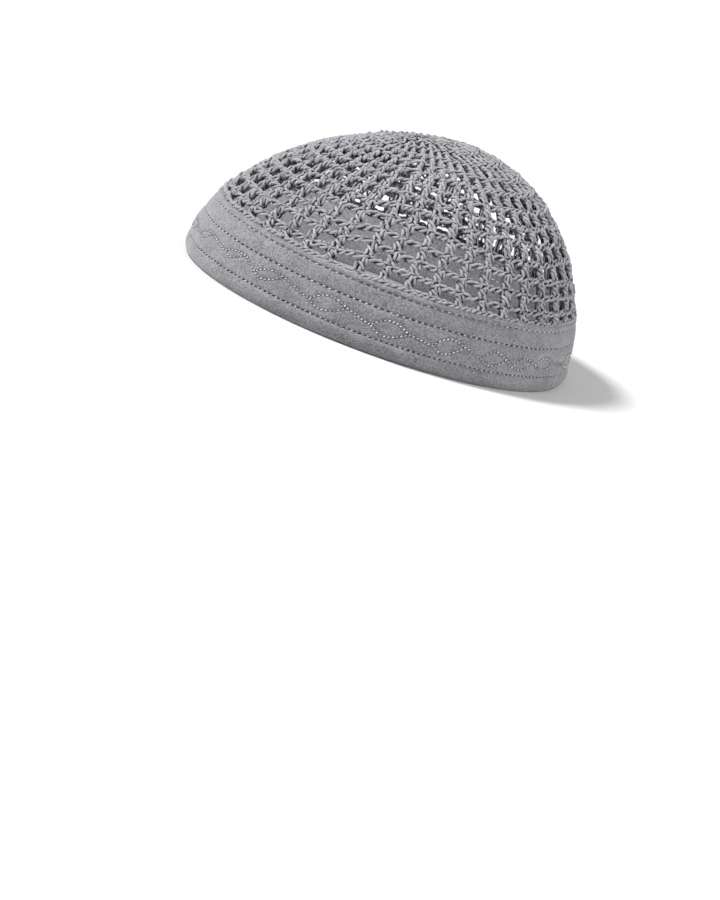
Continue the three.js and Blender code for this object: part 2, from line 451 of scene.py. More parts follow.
# Rounds: from which one on the crochet is close, and the pieces that they are shared out to
ROUNDS = 13
SOLID_ROUND = 11
SOLID_PITCH = 3.4
LEAST_COUNT = 8
PIECE_ROUNDS = {"net_lower": (0, 2), "net_middle": (3, 5), "net_upper": (6, 8), "net_centre": (9, 12)}

# Links between two posts: the pitches of the posts over which there are three or two
THREE_LINK_PITCH = 7.6
TWO_LINK_PITCH = 5.4
EDGE_LINKS = 4

# The yarn's width where it is pressed, and how it swells with its place in LOOP units
PRESSED_YARN = 0.80
YARN_SWELL = 0.30
SWELL_RANGE = (-0.5, 0.9)

# The edge chain lies a little lower, further out and flatter, on the band's lip
EDGE_SINK = 0.15
EDGE_STAND_OUT = 0.5
EDGE_FLATNESS = 0.72

# Chains: narrow where the links or the pitches are short, and prouder towards the centre
CHAIN_WIDTH = 1.06
LEAST_LINK_WIDTH = 0.55
LINK_WIDENING = 0.45
FULL_LINK = 3.4
LEAST_CHAIN_WIDTH = 0.78
CHAIN_WIDENING = 0.22
WIDENING_PITCHES = (4.5, 9.5)
CHAIN_PROUD = 0.12
CHAIN_RISE = 0.32
RISING_PITCHES = (8.5, 5.0)
LINK_WIDTH_SPREAD = 0.15
LINK_LIFT_SPREAD = 0.06

# Posts: their width and relief, and how uneven their strands are
POST_WIDTH = 1.16
POST_RELIEF = 0.92
POST_SHARE_START = 0.02
POST_SHARE_SLOPE = 0.083
POST_LEAN_SPREAD = 0.14
POST_ALONG_SPREAD = 0.015
POST_WIDTH_SPREAD = 0.10
POST_SWAY_SPREAD = 0.12
POST_LIFT_SPREAD = 0.05
FAN_STAGGER = 0.05


def yarn_radius(out):
    """The yarn swells where nothing presses on it. out is in LOOP units."""
    return YARN / 2 * (PRESSED_YARN + YARN_SWELL * ramp(out, *SWELL_RANGE))


def round_plan():
    """How many posts stand on each round and how many chain links each cell has."""
    plan = []
    for number in range(ROUNDS):
        girth = RIM_LENGTH * float(round_spread(number))
        count = COLUMNS if number < SOLID_ROUND else max(LEAST_COUNT, round(girth / SOLID_PITCH))
        pitch = girth / (count + SEAM_GAP)
        links = 3 if pitch > THREE_LINK_PITCH else 2 if pitch > TWO_LINK_PITCH else 1
        if number == 0:
            links = EDGE_LINKS
        plan.append({"round": number, "count": count, "pitch": pitch, "links": links})
    return plan


PLAN = round_plan()


def place_rows(turn, round_, climb, sideways, out):
    """Points of strands, each followed by its lift and the cap's outward direction there."""
    lift = out * LOOP
    at_edge = np.clip(1.0 - round_, 0.0, 1.0)
    climb = climb - EDGE_SINK * at_edge
    points, outward = place(turn, round_, sideways, climb, lift + EDGE_STAND_OUT * at_edge)
    return np.concatenate([points, lift[..., None], outward], -1)


def add_rows(strands, rows, steps, tone):
    path = respace(rows, steps)
    lift, outward = path[..., 3], path[..., 4:]
    strands.add(path[..., :3], yarn_radius(lift / LOOP), tone, lift, outward)


def add_chain(strands, row):
    """One round of chain links, worked once round the cap towards falling turns."""
    links = row["count"] * row["links"]
    index = np.arange(links)[::-1]
    post, link = index // row["links"], index % row["links"]
    start = column_turn(post + (link + 0.5) / row["links"], row["count"])
    after = np.append(start[1:], start[0] - 1.0)
    turn = start[:, None] + (after - start)[:, None] * CHAIN_LINK[:, 0]
    tight = min(1.0, LEAST_LINK_WIDTH + LINK_WIDENING * row["pitch"] / row["links"] / FULL_LINK)
    tight *= LEAST_CHAIN_WIDTH + CHAIN_WIDENING * ramp(row["pitch"], *WIDENING_PITCHES)
    across = CHAIN_LINK[:, 1] * CHAIN_WIDTH * tight * rng.normal(1.0, LINK_WIDTH_SPREAD, (links, 1))
    proud = CHAIN_PROUD + CHAIN_RISE * ramp(row["pitch"], *RISING_PITCHES)
    out = CHAIN_LINK[:, 2] + proud + rng.normal(0.0, LINK_LIFT_SPREAD, turn.shape)
    if row["round"] == 0:
        across = across * EDGE_FLATNESS
    roll = rng.normal(CHAIN_ROLL, CHAIN_ROLL_SPREAD, (links, 1))
    climb = across * np.cos(roll) - out * np.sin(roll)
    lift = across * np.sin(roll) + out * np.cos(roll)
    round_ = np.full(turn.shape, float(row["round"]))
    rows = place_rows(turn, round_, climb * LOOP, 0.0, lift)
    add_rows(strands, catmull_rom(rows.reshape(1, -1, rows.shape[-1]), 3), links * CHAIN_STEPS, 0.0)


def post_share(pitch):
    """How wide a post is, as a share of a post in the widest round."""
    return min(1.0, POST_SHARE_START + POST_SHARE_SLOPE * pitch)


def add_posts(strands, row, above):
    """The posts between a round and the round above it, which lies nearer the centre."""
    count = row["count"]
    column = np.arange(count)
    top = column_turn(column, count)
    base = top
    if above is not None:
        base = column_turn(np.round(column * above["count"] / count), above["count"])
        base = top + (base - top + 0.5) % 1.0 - 0.5
    narrow = post_share(row["pitch"])
    narrow_base = post_share(above["pitch"] if above else row["pitch"] / 2)
    lean = rng.normal(0.0, POST_LEAN_SPREAD, (count, 1))
    for name, strand in POST_STRANDS.items():
        shape = np.array(strand)
        along = shape[:, 0] + rng.normal(0.0, POST_ALONG_SPREAD, (count, len(shape)))
        if name.startswith("fan"):
            along = along + rng.normal(FAN_STAGGER, FAN_STAGGER, (count, 1)) * shape[:, 1]
        within = np.clip(along, 0.0, 1.0)
        turn = mix(base[:, None], top[:, None], along)
        pinch = mix(narrow_base, narrow, within)
        spread = rng.normal(1.0, POST_WIDTH_SPREAD, (count, 1))
        sway = rng.normal(0.0, POST_SWAY_SPREAD, (count, 1)) + lean * np.sin(math.pi * within)
        sideways = (shape[:, 1] * spread + sway) * LOOP * POST_WIDTH * pinch
        out = np.minimum(shape[:, 2], shape[:, 2] * POST_RELIEF)
        out = out + rng.normal(0.0, POST_LIFT_SPREAD, along.shape)
        rows = place_rows(turn, row["round"] + 1 - along, 0.0, sideways, out)
        steps = BACK_STEPS if name.startswith("back") else POST_STEPS
        add_rows(strands, catmull_rom(rows, 4), steps, rng.normal(0.0, 1.0, count))


# How crowded the yarn is, which sets its painted shade in crevices: the size of a cell, how far off the
# surface it is read, and the margin
CELL = 0.8
CROWD_REACH = 1.0
CROWD_MARGIN = 4.0


def crowding_of(pieces):
    """How much yarn lies just off the surface at each point of each piece, as its area in a cell."""
    points, facings, areas = (
        np.concatenate([block for strands in pieces for block in getattr(strands, kind)])
        for kind in ("points", "facings", "areas")
    )
    low = points.min(0) - CROWD_MARGIN
    shape = np.ceil((points.max(0) + CROWD_MARGIN - low) / CELL).astype(int)
    cell = np.floor((points - low) / CELL).astype(int)
    grid = np.bincount(np.ravel_multi_index(cell.T, shape), areas, shape.prod())
    grid = grid.reshape(shape).astype(np.float32)
    for axis in (0, 1, 2, 0, 1, 2):
        grid = (np.roll(grid, 1, axis) + 2 * grid + np.roll(grid, -1, axis)) / 4
    probe = (points + facings * CROWD_REACH - low) / CELL - 0.5
    corner = np.floor(probe).astype(int)
    share = probe - corner
    crowding = np.zeros(len(points))
    for step in np.ndindex(2, 2, 2):
        weight = np.prod(np.where(np.array(step) == 1, share, 1 - share), -1)
        crowding += weight * grid[tuple((corner + step).T)]
    ends = np.cumsum([strands.count for strands in pieces])[:-1]
    return np.split(crowding, ends)


def make_crown():
    pieces = []
    for first, last in PIECE_ROUNDS.values():
        strands = Strands()
        for number in range(first, last + 1):
            row = PLAN[number]
            above = PLAN[number + 1] if number + 1 < ROUNDS else None
            add_chain(strands, row)
            add_posts(strands, row, above)
        pieces.append(strands)
    return [piece.build(*named) for piece, *named in zip(pieces, PIECE_ROUNDS, crowding_of(pieces))]


# Band
BAND_WALL = 3.0
BAND_SEGMENTS = 1050
FOLD_RADIUS = 1.5
LIP_RADIUS = 0.9
REST_FLAT = 0.25

# The outer cloth's foot: how far it curls in, from which height, and its rounded edge
FOOT_CURL = 2.1
FOOT_CURL_HEIGHT = 7.5
FOOT_CURL_POWER = 2.3
FOOT_ROUND = 1.2
FOOT_ANGLES = (88, 66, 44, 22, 6)
HEEL_ANGLES = (0, 22, 44, 66, 88)
LIP_ANGLE_STEP = 20

# Rows of the grid up the outer face, with more of them at a stitch line
FACE_ROWS = 44
FACE_START = 0.2
ROWS_AT_A_LINE = (-0.8, -0.5, -0.25, 0.0, 0.25, 0.5, 0.8)
CLEAR_OF_A_LINE = 0.95

# The inner side of the lip: distance below the band's top, and depth. Then the rows further
# down, from each stitch line.
INNER_LIP = [(1.8, 1.8), (2.8, 1.9), (3.3, 2.8)]
INNER_ROWS_AT_A_LINE = (0.7, 0.0, -0.7, -3.4)
INNER_TOP = 29.0

# Straight stitch lines: height above the rim, band segments to a stitch, strength of the holes
STRAIGHT_LINES = [
    {"level": 30.2, "segments": 7, "mark": 0.62},
    {"level": 22.2, "segments": 6, "mark": 0.95},
    {"level": 8.2, "segments": 5, "mark": 0.85},
]

# The leaves of the two wavy lines on the photographed side, in millimetres. Along the rim from
# its widest point: their start and length. Over LEAF_LEVEL: their two ends. Then how far their
# edges bulge above and below the line between the ends.
LEAF_COLUMNS = ("start", "length", "west", "east", "above", "below")
SEEN_LEAVES = [
    (-114.1, 12.2, -0.5, 3.4, 1.4, 2.2),
    (-87.5, 12.8, 0.5, 3.7, 1.2, 2.2),
    (-65.5, 15.1, -0.7, 3.0, 2.4, 2.7),
    (-34.1, 18.8, -0.8, 1.9, 3.8, 3.4),
    (-2.1, 18.8, -1.2, 0.2, 4.2, 3.5),
    (29.2, 15.8, -1.3, 1.9, 3.6, 3.6),
    (55.0, 14.3, -1.5, 0.2, 3.9, 3.0),
    (74.4, 13.2, -2.8, -0.3, 3.9, 1.6),
    (89.3, 13.7, -0.6, 0.3, 3.0, 2.8),
]
USUAL_LEAF = (0.0, 16.0, -1.0, 1.3, 3.5, 3.2)
LEAF_UNEVENNESS = (1.6, 1.2, 0.5, 0.8, 0.4, 0.4)
UNSEEN_LEAVES = 12
LEAF_LEVEL = 15.0
LEAF_SKEW = 0.85
GAP_TO_UNSEEN_LEAVES = 25.0

# Stitches of the wavy lines: their spacing, and half their length along the rim and up the band
WAVE_PITCH = 2.0
WAVE_STEP = 0.36
WAVE_CLIMB = 0.32
THREAD = 0.45

leaf_rng = np.random.default_rng(23)


def all_leaves():
    """The seen leaves, then unseen ones spread over the rest of the rim, as columns."""
    first_unseen = SEEN_LEAVES[-1][0] + GAP_TO_UNSEEN_LEAVES
    spacing = (SEEN_LEAVES[0][0] + RIM_LENGTH - first_unseen) / UNSEEN_LEAVES
    rows = [np.array(leaf) for leaf in SEEN_LEAVES]
    for number in range(UNSEEN_LEAVES):
        uneven = leaf_rng.normal(0.0, 1.0, len(LEAF_COLUMNS)) * LEAF_UNEVENNESS
        leaf = np.array(USUAL_LEAF) + uneven
        leaf[0] += first_unseen + number * spacing
        rows.append(leaf)
    return dict(zip(LEAF_COLUMNS, np.transpose(rows)))


LEAVES = all_leaves()
LINE_BULGES = {"upper": ("above", 1.0), "lower": ("below", -1.0)}
STEMLESS_LINE = "lower"


def leaf_at(turn):
    """The leaf at or before a turn, the next one's number, and the way along it and its stem."""
    first = LEAVES["start"][0]
    at = (turn * RIM_LENGTH - first) % RIM_LENGTH + first
    index = np.searchsorted(LEAVES["start"], at, side="right") - 1
    leaf = {column: values[index] for column, values in LEAVES.items()}
    following = (index + 1) % len(LEAVES["start"])
    next_start = LEAVES["start"][following] + RIM_LENGTH * (following == 0)
    share = np.clip((at - leaf["start"]) / leaf["length"], 0.0, 1.0)
    stem = (at - leaf["start"] - leaf["length"]) / (next_start - leaf["start"] - leaf["length"])
    return leaf, following, share, stem


def wave_level(turn, line):
    """The height of a wavy line: over or under a leaf, then down the stem to the next one."""
    leaf, following, share, stem = leaf_at(turn)
    bulge, sign = LINE_BULGES[line]
    edge = leaf["west"] + (leaf["east"] - leaf["west"]) * share
    edge = edge + sign * leaf[bulge] * np.sin(math.pi * share**LEAF_SKEW)
    fall = 0.5 * stem + 0.5 * smooth_step(stem)
    stem_level = leaf["east"] + (LEAVES["west"][following] - leaf["east"]) * fall
    return LEAF_LEVEL + np.where(share < 1.0, edge, stem_level)


def inward(across, along):
    """The level direction into the cap from a place on its rim, or on an oval like it."""
    return unit(np.stack([-across / RIM_HALF_WIDTH, -along / RIM_HALF_LENGTH, 0 * across], -1))


def wall_point(angle, level, depth):
    """A point of the wall at a height, set in by a depth measured level with the rim."""
    spread = spread_of_level(np.clip(level, 0, CAP_HEIGHT))
    point = outer_point(spread * np.cos(angle), spread * np.sin(angle))
    point = point + inward(np.cos(angle), np.sin(angle)) * depth[..., None]
    point[..., 2] = level
    return point


# The stitches of a line: the turns and heights of their two ends, as the rows of two arrays
def straight_stitches(line):
    start = np.arange(0, BAND_SEGMENTS, line["segments"]) / BAND_SEGMENTS
    turn = np.stack([start, start + line["segments"] / BAND_SEGMENTS])
    return turn, np.full(turn.shape, line["level"])


def wave_stitches(line, samples=20000):
    """Short slanted stitches, whose middles are evenly spaced along a wavy line."""
    turn = np.linspace(0.0, 1.0, samples + 1)
    level = wave_level(turn, line)
    across = np.diff(turn) * RIM_LENGTH * spread_of_level((level[1:] + level[:-1]) / 2)
    length = run_along(np.hypot(across, np.diff(level)))
    count = round(length[-1] / WAVE_PITCH)
    middle = np.interp(np.arange(count) / count * length[-1], length, turn)
    if line == STEMLESS_LINE:
        share = leaf_at(middle)[2]
        middle = middle[(share > 0.0) & (share < 1.0)]
    reach = np.array([[-1.0], [1.0]])
    turn = middle + reach * WAVE_STEP / RIM_LENGTH
    return turn, wave_level(middle, line) + reach * WAVE_CLIMB


def bell(distance, width):
    return np.exp(-((distance / width) ** 2))


# Quilting: how far the cloth puffs out between the stitch lines, at the lip and at the foot
PUFF = 0.34
LIP_PUFF = 0.60
FOOT_PUFF = 0.70
PUFF_POWER = 0.6

# Grooves at the straight lines, which gather at each stitch and ripple over several, and shallower
# ones at the wavy lines, narrowed by their slope
GROOVE = 0.46
GROOVE_WIDTH = 0.62
GATHER = 0.2
RIPPLE = 0.06
RIPPLE_WIDTH = 2.6
STITCHES_TO_A_RIPPLE = 3
WAVE_GROOVE = 0.20
WAVE_GROOVE_WIDTH = 0.6
WAVE_SLOPE = 0.85

# Soft rolls of the cloth: how many to a turn, their size and slant, and how they fade at the foot
ROLL_COUNTS = (3, 5, 8, 13, 19, 27)
ROLL_SIZE = 0.20
ROLL_DECLINE = 0.12
ROLL_SLANT = 0.05
FULL_ROLL_LEVEL = 6.0
LEAST_ROLL = 0.25

roll_rng = np.random.default_rng(11)
ROLLS = [
    (count, roll_rng.uniform(-ROLL_SLANT, ROLL_SLANT), roll_rng.uniform(0, 2 * math.pi))
    for count in ROLL_COUNTS
]


def band_relief(turn, level):
    """How far the cloth stands out: quilting, grooves at the stitch lines and soft rolls."""
    relief = np.zeros(np.broadcast(turn, level).shape)
    edges = [0.0] + [line["level"] for line in reversed(STRAIGHT_LINES)] + [BAND_HEIGHT]
    for low, high in zip(edges[:-1], edges[1:]):
        share = np.clip((level - low) / (high - low), 0.0, 1.0)
        size = LIP_PUFF if high == BAND_HEIGHT else FOOT_PUFF if low == 0.0 else PUFF
        relief += size * np.sin(math.pi * share) ** PUFF_POWER
    for line in STRAIGHT_LINES:
        phase = 2 * math.pi * turn * BAND_SEGMENTS / line["segments"]
        gather = 1.0 - GATHER + GATHER * np.cos(phase)
        away = level - line["level"]
        relief -= GROOVE * gather * bell(away, GROOVE_WIDTH)
        ripple = np.sin(phase / STITCHES_TO_A_RIPPLE + line["level"])
        relief += RIPPLE * ripple * bell(away, RIPPLE_WIDTH)
    for line in LINE_BULGES:
        relief -= WAVE_GROOVE * bell((level - wave_level(turn, line)) * WAVE_SLOPE, WAVE_GROOVE_WIDTH)
    for count, slant, start in ROLLS:
        angle = 2 * math.pi * (count * turn + slant * level) + start
        size = ROLL_SIZE / (1 + ROLL_DECLINE * count)
        relief += size * np.sin(angle) * np.clip(level / FULL_ROLL_LEVEL, LEAST_ROLL, 1.0)
    return relief


def band_outside(turn, level, lift=0.0):
    """A point on the outer cloth. lift stands it out from the cloth."""
    depth = -(band_relief(turn, level) + lift)
    return wall_point(angle_at(turn), level, depth)


def outer_levels():
    """Heights of the grid's rows up the outer face, closer together at the stitch lines."""
    rows = list(np.linspace(FOOT_ROUND + FACE_START, BAND_HEIGHT - LIP_RADIUS, FACE_ROWS))
    for line in STRAIGHT_LINES:
        rows = [row for row in rows if abs(row - line["level"]) > CLEAR_OF_A_LINE]
        rows += [line["level"] + away for away in ROWS_AT_A_LINE]
    return sorted(rows)


def foot_curl(level):
    """How far the outer cloth curls in towards the folded lower edge."""
    return FOOT_CURL * max(0.0, 1.0 - level / FOOT_CURL_HEIGHT) ** FOOT_CURL_POWER


def band_section():
    """Heights and depths round the folded cloth: up the outside, over the lip and down inside."""
    foot = [FOOT_ROUND * (1 - math.sin(a)) for a in np.radians(FOOT_ANGLES)]
    outside = [(level, foot_curl(level)) for level in foot + outer_levels()]
    lip = [
        (BAND_HEIGHT - LIP_RADIUS + LIP_RADIUS * math.sin(a), LIP_RADIUS - LIP_RADIUS * math.cos(a))
        for a in np.radians(np.arange(LIP_ANGLE_STEP, 181, LIP_ANGLE_STEP))
    ]
    inner_lip = [(BAND_HEIGHT - below, depth) for below, depth in INNER_LIP]
    inner_rows = [line["level"] + away for line in STRAIGHT_LINES for away in INNER_ROWS_AT_A_LINE]
    inside = [(level, BAND_WALL) for level in sorted(inner_rows, reverse=True) if level < INNER_TOP]
    heel = [
        (FOLD_RADIUS - FOLD_RADIUS * math.sin(a), BAND_WALL - FOLD_RADIUS + FOLD_RADIUS * math.cos(a))
        for a in np.radians(HEEL_ANGLES)
    ]
    return np.array(outside + lip + inner_lip + inside + heel), len(foot), len(outside)


# Needle holes: their size round the straight and the wavy lines, their depth and how they vary
HOLE_LENGTH = 0.82
HOLE_HEIGHT = 0.42
WAVE_HOLE = 0.48
WAVE_MARK = 0.8
HOLE_DEPTH = 0.6
HOLE_STRENGTHS = (0.55, 1.15)

hole_rng = np.random.default_rng(31)


def needle_marks(points, holes, length, tall):
    """How deep each point lies in a needle hole of a length and height."""
    tree = KDTree(len(holes))
    for index, hole in enumerate(holes):
        tree.insert(hole, index)
    tree.balance()
    nearest = np.array([tree.find(point)[1] for point in points])
    strength = hole_rng.uniform(*HOLE_STRENGTHS, len(holes))
    apart = points - holes[nearest]
    distance = np.hypot(apart[:, 2] / tall, np.hypot(apart[:, 0], apart[:, 1]) / length)
    return strength[nearest] * bell(distance, 1.0)


def all_needle_marks(outer):
    """How deep each point of the outer face lies in a needle hole of any stitch line."""
    points = outer.reshape(-1, 3)
    waves = [band_outside(*wave_stitches(line)).reshape(-1, 3) for line in LINE_BULGES]
    marks = WAVE_MARK * needle_marks(points, np.concatenate(waves), WAVE_HOLE, WAVE_HOLE)
    for line in STRAIGHT_LINES:
        holes = band_outside(*straight_stitches(line))[0]
        line_marks = needle_marks(points, holes, HOLE_LENGTH, HOLE_HEIGHT)
        marks = np.maximum(marks, line["mark"] * line_marks)
    return marks.reshape(outer.shape[:2])


# Where the cloth's relief shows on the inside, how much of it, and the width of the underside
INSIDE_DEPTHS = (BAND_WALL - 0.6, BAND_WALL - 0.1)
INSIDE_RELIEF = 0.35
UNDERSIDE_WIDTH = 1.0


def make_band():
    section, first_outer, last_outer = band_section()
    rows = len(section)
    turn = np.arange(BAND_SEGMENTS)[:, None] / BAND_SEGMENTS
    level, depth = (values + 0 * turn for values in section.T)
    outside = 1.0 - smooth_step((depth - FOOT_CURL * (level < FOOT_CURL_HEIGHT)) / LIP_RADIUS)
    inside = ramp(depth, *INSIDE_DEPTHS)
    relief = band_relief(turn, level)
    depth -= relief * outside
    depth += INSIDE_RELIEF * relief * inside
    level = np.maximum((level - REST_FLAT) * BAND_HEIGHT / (BAND_HEIGHT - REST_FLAT), 0.0)
    points = wall_point(angle_at(turn + 0 * level), level, depth)

    marks = np.zeros(level.shape)
    marks[:, first_outer:last_outer] = all_needle_marks(points[:, first_outer:last_outer])
    into = inward(points[..., 0] / RIM_HALF_WIDTH, points[..., 1] / RIM_HALF_LENGTH)
    points = points + HOLE_DEPTH * marks[..., None] * into

    segment = np.arange(BAND_SEGMENTS)[:, None, None] + QUAD_AROUND
    row = np.arange(rows)[:, None] + QUAD_ALONG
    quads = segment % BAND_SEGMENTS * rows + row % rows
    steps = np.linalg.norm(np.diff(section, axis=0), axis=1)
    way_up = run_along(np.append(steps, UNDERSIDE_WIDTH))
    uv = np.stack(np.broadcast_arrays(segment / BAND_SEGMENTS * RIM_LENGTH, way_up[row]), -1)
    return add_mesh("band_cloth", points, quads, np.zeros(0, int), "Cloth", uv, {"needle": marks})


# A stitch from one end to the other: share of the way and lift above the cloth
STRAIGHT_STITCH = np.array([
    (0.08, -0.60), (0.20, -0.26), (0.38, 0.14), (0.62, 0.14), (0.80, -0.26), (0.92, -0.60),
])
WAVE_STITCH = np.array([
    (-0.50, -0.24), (-0.30, -0.06), (-0.05, 0.00), (0.25, 0.24), (0.75, 0.24), (1.05, 0.00),
    (1.30, -0.06), (1.50, -0.24),
])
STITCH_INSIDE = np.array([(0.02, -0.25), (0.15, 0.08), (0.50, 0.16), (0.85, 0.08), (0.98, -0.25)])

# Rings of a thread's tube outside and inside, its sides, and how uneven and how deep it lies
OUTSIDE_STEPS = 7
INSIDE_STEPS = 5
THREAD_SIDES = 5
STITCH_UNEVENNESS = 0.05
INSIDE_THREAD_SINK = 0.15

stitch_rng = np.random.default_rng(5)


def add_stitches(strands, turn, level, outside):
    """Thread over the outer cloth and under the inner one, from end to end of each stitch."""
    level = level + stitch_rng.normal(0.0, STITCH_UNEVENNESS, turn.shape)
    for shape, inside in ((outside, False), (STITCH_INSIDE, True)):
        share = shape[:, 0]
        at = mix(turn[0, :, None], turn[1, :, None], share)
        height = mix(level[0, :, None], level[1, :, None], share)
        lift = shape[:, 1] + 0 * at
        if inside:
            points = wall_point(angle_at(at), height, BAND_WALL - INSIDE_THREAD_SINK + lift)
        else:
            points = band_outside(at, height, lift)
        rows = np.concatenate([points, lift[..., None]], -1)
        path = respace(catmull_rom(rows, 3), INSIDE_STEPS if inside else OUTSIDE_STEPS)
        strands.add(path[..., :3], THREAD / 2, stitch_rng.normal(0.0, 1.0, len(path)), path[..., 3])


def make_stitching():
    strands = Strands(THREAD_SIDES)
    for line in STRAIGHT_LINES:
        add_stitches(strands, *straight_stitches(line), STRAIGHT_STITCH)
    for line in LINE_BULGES:
        add_stitches(strands, *wave_stitches(line), WAVE_STITCH)
    return strands.build("stitching")


# Materials
class Surface:
    """A material whose nodes are added one at a time."""

    def __init__(self, name, roughness, sheen=0.0, sheen_roughness=0.5, specular=0.5):
        self.material = bpy.data.materials.new(name)
        self.material.use_nodes = True
        self.tree = self.material.node_tree
        self.shader = self.tree.nodes["Principled BSDF"]
        self.put(self.shader, {"Roughness": roughness, "Specular IOR Level": specular})
        self.put(self.shader, {"Sheen Weight": sheen, "Sheen Roughness": sheen_roughness})

    def put(self, node, inputs):
        for key, value in inputs.items():
            socket = node.inputs[key]
            if isinstance(value, bpy.types.NodeSocket):
                self.tree.links.new(value, socket)
            else:
                socket.default_value = value
        return node

    def math(self, operation, *values):
        node = self.tree.nodes.new("ShaderNodeMath")
        node.operation = operation
        return self.put(node, dict(enumerate(values))).outputs[0]

    def weighted(self, *terms):
        """The sum of pairs of a socket and its weight."""
        total = 0.0
        for value, weight in terms:
            total = self.math("MULTIPLY_ADD", value, weight, total)
        return total

    def noise(self, vector, scale, detail, roughness):
        node = self.tree.nodes.new("ShaderNodeTexNoise")
        inputs = {"Vector": vector, "Scale": scale, "Detail": detail, "Roughness": roughness}
        return self.put(node, inputs).outputs[0]

    def where(self, stretch=(1.0, 1.0, 1.0)):
        """Places on the object, in millimetres times the stretch."""
        coordinates = self.tree.nodes.new("ShaderNodeTexCoord")
        mapping = self.tree.nodes.new("ShaderNodeMapping")
        scale = tuple(s / MM for s in stretch)
        return self.put(mapping, {"Vector": coordinates.outputs["Object"], "Scale": scale}).outputs[0]

    def uv(self, layer):
        node = self.tree.nodes.new("ShaderNodeUVMap")
        node.uv_map = layer
        split = self.tree.nodes.new("ShaderNodeSeparateXYZ")
        self.put(split, {0: node.outputs[0]})
        return split.outputs[0], split.outputs[1]

    def attribute(self, name):
        node = self.tree.nodes.new("ShaderNodeAttribute")
        node.attribute_name = name
        return node.outputs["Fac"]

    def mottle(self, *terms):
        """Centres noises about a half, each with its own strength."""
        return self.weighted(*terms, (1.0, 0.5 - 0.5 * sum(strength for _, strength in terms)))

    def blend(self, low, high, share):
        node = self.tree.nodes.new("ShaderNodeMixRGB")
        colours = [c if isinstance(c, bpy.types.NodeSocket) else (*c, 1.0) for c in (low, high)]
        return self.put(node, {"Fac": share, "Color1": colours[0], "Color2": colours[1]}).outputs[0]

    def rise(self, value, low, high):
        """Runs smoothly from 0 to 1 as the value goes from low to high."""
        node = self.tree.nodes.new("ShaderNodeMapRange")
        node.interpolation_type = "SMOOTHSTEP"
        return self.put(node, {"Value": value, "From Min": low, "From Max": high}).outputs[0]

    def paint(self, colour):
        self.put(self.shader, {"Base Color": colour})

    def bump(self, height, distance):
        node = self.tree.nodes.new("ShaderNodeBump")
        inputs = {"Height": height, "Distance": distance * MM, "Strength": 1.0}
        self.put(self.shader, {"Normal": self.put(node, inputs).outputs[0]})


# How many plies wind along the yarn and the thread, the length of their winding in millimetres,
# and how round they are
YARN_PLIES = (3, 2.6)
THREAD_PLIES = (2, 0.9)
PLY_ROUNDNESS = 0.6


def twist_height(surface, layer, plies, pitch):
    """Rounded plies that wind along a strand."""
    around, along = surface.uv(layer)
    phase = surface.weighted((around, 2 * math.pi * plies), (along, 2 * math.pi * plies / pitch))
    wave = surface.math("ABSOLUTE", surface.math("SINE", surface.math("MULTIPLY", phase, 0.5)))
    return surface.math("POWER", wave, PLY_ROUNDNESS)


# Noises: how fine they are to a millimetre, their detail and their roughness
YARN_PATCHES = (0.35, 2.0, 0.5)
YARN_FIBRES = (3.2, 4.0, 0.7)
CLOTH_BLOTCHES = (0.10, 2.0, 0.5)
CLOTH_GRAINS = (0.95, 3.0, 0.7)
CLOTH_FIBRES = (2.6, 3.0, 0.7)
FLOOR_GRAINS = (0.5, 3.0, 0.5)

# Yarn: its mottling by patches and fibres, the painted shade in the grooves between its plies, how
# its strands differ, its bumps, and its painted shade where yarn is crowded and below its ridges
PATCH_MOTTLE, FIBRE_MOTTLE, PLY_GROOVE_SHADE = 0.9, 1.3, 0.35
STRAND_TONES = 0.14
PLY_BUMP, FIBRE_BUMP = 1.0, 0.55
YARN_BUMP_HEIGHT = 0.14
CREVICE_SHADE_CROWDING = (0.30, 0.92)
OUTER_RIDGES = (0.0, 1.6)
INNER_RIDGES = (1.0, 2.2)

# Cloth: its mottling and bumps by blotches, grains, fibres and knitted loops, its wales and
# courses, the painted shade at the foot and the painted shadow in the needle holes
CLOTH_STRETCH = (1.0, 1.0, 1.55)
BLOTCH_MOTTLE, GRAIN_MOTTLE, CLOTH_FIBRE_MOTTLE = 0.6, 2.8, 2.5
LOOP_MOTTLE = 0.06
GRAIN_BUMP, CLOTH_FIBRE_BUMP, LOOP_BUMP = 0.6, 0.8, 0.25
CLOTH_BUMP_HEIGHT = 0.16
WALES = 660
COURSE_PITCH = 0.75
FOOT_SHADE_HEIGHTS = (1.0, 8.0)
FOOT_SHADE = 0.13
NEEDLE_DEPTHS = (0.10, 0.75)

# Thread: how its stitches differ, painted shade between its plies, how light it is, and painted shadow
# at its ends
STITCH_TONES, THREAD_PLY_SHADE, THREAD_LIGHTNESS = 0.32, 0.5, 0.25
THREAD_BUMP_HEIGHT = 0.05
THREAD_ENDS = (0.0, 0.16)

# Colours
YARN_SHADOW = (0.012, 0.012, 0.013)
YARN_DARK = (0.173, 0.171, 0.184)
YARN_LIGHT = (0.423, 0.418, 0.445)
CLOTH_DARK = (0.090, 0.088, 0.096)
CLOTH_LIGHT = (0.303, 0.300, 0.322)
NEEDLE_SHADOW = (0.020, 0.020, 0.022)
THREAD_DARK = (0.27, 0.268, 0.285)
THREAD_LIGHT = (0.76, 0.755, 0.785)
FLOOR_DARK = (0.66, 0.66, 0.66)
FLOOR_LIGHT = (0.70, 0.70, 0.70)


